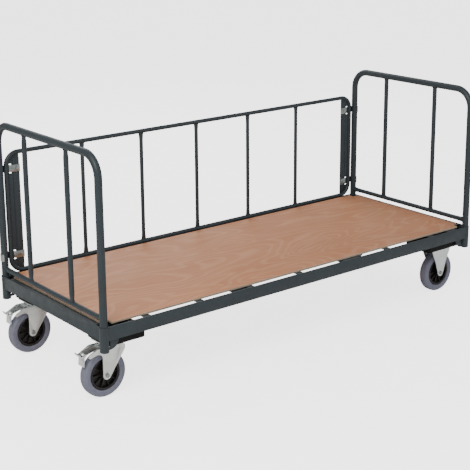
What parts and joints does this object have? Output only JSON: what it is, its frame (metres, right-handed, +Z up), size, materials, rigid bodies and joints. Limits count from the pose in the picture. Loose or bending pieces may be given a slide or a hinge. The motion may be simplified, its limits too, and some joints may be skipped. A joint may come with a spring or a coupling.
{
  "type": "platform trolley",
  "caption": "Steel platform trolley with a plywood deck, tubular end and back panels, braked swivel castors at one end and fixed castors at the other.",
  "frame": {"origin": "centre of the footprint of the whole trolley's box, at floor level", "axes": "+X along the deck towards the fixed castors, +Y towards the back panel, +Z up"},
  "size_m": [2.2418, 0.8496, 1.052],
  "materials": {
    "frame_paint": "satin powder coat",
    "deck_plywood": "smooth sanded",
    "zinc_steel": "bright zinc plate",
    "pad_paint": "satin black",
    "rim_plastic": "moulded satin",
    "grey_tyre": "matte solid rubber"
  },
  "bodies": {
    "chassis": {"front_rail": "frame_paint", "rear_rail": "frame_paint", "left_end_rail": "frame_paint", "right_end_rail": "frame_paint", "left_castor_beam": "frame_paint", "right_castor_beam": "frame_paint", "cross_member_1": "frame_paint", "cross_member_2": "frame_paint", "corner_sleeve_left_front": "frame_paint", "corner_sleeve_left_rear": "frame_paint", "corner_sleeve_right_front": "frame_paint", "corner_sleeve_right_rear": "frame_paint", "deck_board": "deck_plywood", "castor_pad_left_front": "pad_paint", "castor_plate_left_front": "zinc_steel", "kingpin_left_front": "zinc_steel", "castor_pad_left_rear": "pad_paint", "castor_plate_left_rear": "zinc_steel", "kingpin_left_rear": "zinc_steel", "castor_pad_right_front": "pad_paint", "castor_fork_right_front": "zinc_steel", "axle_right_front": "zinc_steel", "castor_pad_right_rear": "pad_paint", "castor_fork_right_rear": "zinc_steel", "axle_right_rear": "zinc_steel"},
    "superstructure": {"left_panel_frame": "frame_paint", "left_panel_lower_bar": "frame_paint", "left_panel_rod_front": "frame_paint", "left_panel_rod_rear": "frame_paint", "right_panel_frame": "frame_paint", "right_panel_lower_bar": "frame_paint", "right_panel_rod_front": "frame_paint", "right_panel_rod_rear": "frame_paint", "back_panel_frame": "frame_paint", "back_panel_rod_1": "frame_paint", "back_panel_rod_2": "frame_paint", "back_panel_rod_3": "frame_paint", "back_panel_rod_4": "frame_paint", "back_panel_rod_5": "frame_paint", "back_panel_strip_left": "frame_paint", "clamp_left_lower": "zinc_steel", "clamp_left_upper": "zinc_steel", "back_panel_strip_right": "frame_paint", "clamp_right_lower": "zinc_steel", "clamp_right_upper": "zinc_steel"},
    "swivel_left_front": {"castor_fork_left_front": "zinc_steel", "axle_left_front": "zinc_steel"},
    "pedal_left_front": {"brake_pedal_left_front": "zinc_steel"},
    "wheel_left_front": {"wheel_rim_left_front": "rim_plastic", "tyre_left_front": "grey_tyre"},
    "swivel_left_rear": {"castor_fork_left_rear": "zinc_steel", "axle_left_rear": "zinc_steel"},
    "pedal_left_rear": {"brake_pedal_left_rear": "zinc_steel"},
    "wheel_left_rear": {"wheel_rim_left_rear": "rim_plastic", "tyre_left_rear": "grey_tyre"},
    "wheel_right_front": {"wheel_rim_right_front": "rim_plastic", "tyre_right_front": "grey_tyre"},
    "wheel_right_rear": {"wheel_rim_right_rear": "rim_plastic", "tyre_right_rear": "grey_tyre"}
  },
  "joints": [
    {"name": "panels_lift", "type": "slide", "parent": "chassis", "child": "superstructure", "axis": [0, 0, 1], "range_m": [0, 0.09]},
    {"name": "swivel_turn_left_front", "type": "hinge", "parent": "chassis", "child": "swivel_left_front", "pos_m": [-0.9559, -0.304, 0.2327], "axis": [0, 0, 1], "continuous": true},
    {"name": "pedal_press_left_front", "type": "hinge", "parent": "swivel_left_front", "child": "pedal_left_front", "pos_m": [-1.0309, -0.304, 0.2085], "axis": [0, -1, 0], "range_deg": [0, 8]},
    {"name": "wheel_roll_left_front", "type": "hinge", "parent": "swivel_left_front", "child": "wheel_left_front", "pos_m": [-1.0029, -0.304, 0.1], "axis": [0, 1, 0], "continuous": true},
    {"name": "swivel_turn_left_rear", "type": "hinge", "parent": "chassis", "child": "swivel_left_rear", "pos_m": [-0.9559, 0.304, 0.2327], "axis": [0, 0, 1], "continuous": true},
    {"name": "pedal_press_left_rear", "type": "hinge", "parent": "swivel_left_rear", "child": "pedal_left_rear", "pos_m": [-1.0309, 0.304, 0.2085], "axis": [0, -1, 0], "range_deg": [0, 8]},
    {"name": "wheel_roll_left_rear", "type": "hinge", "parent": "swivel_left_rear", "child": "wheel_left_rear", "pos_m": [-1.0029, 0.304, 0.1], "axis": [0, 1, 0], "continuous": true},
    {"name": "wheel_roll_right_front", "type": "hinge", "parent": "chassis", "child": "wheel_right_front", "pos_m": [1.0041, -0.304, 0.1], "axis": [0, 1, 0], "continuous": true},
    {"name": "wheel_roll_right_rear", "type": "hinge", "parent": "chassis", "child": "wheel_right_rear", "pos_m": [1.0041, 0.304, 0.1], "axis": [0, 1, 0], "continuous": true}
  ]
}
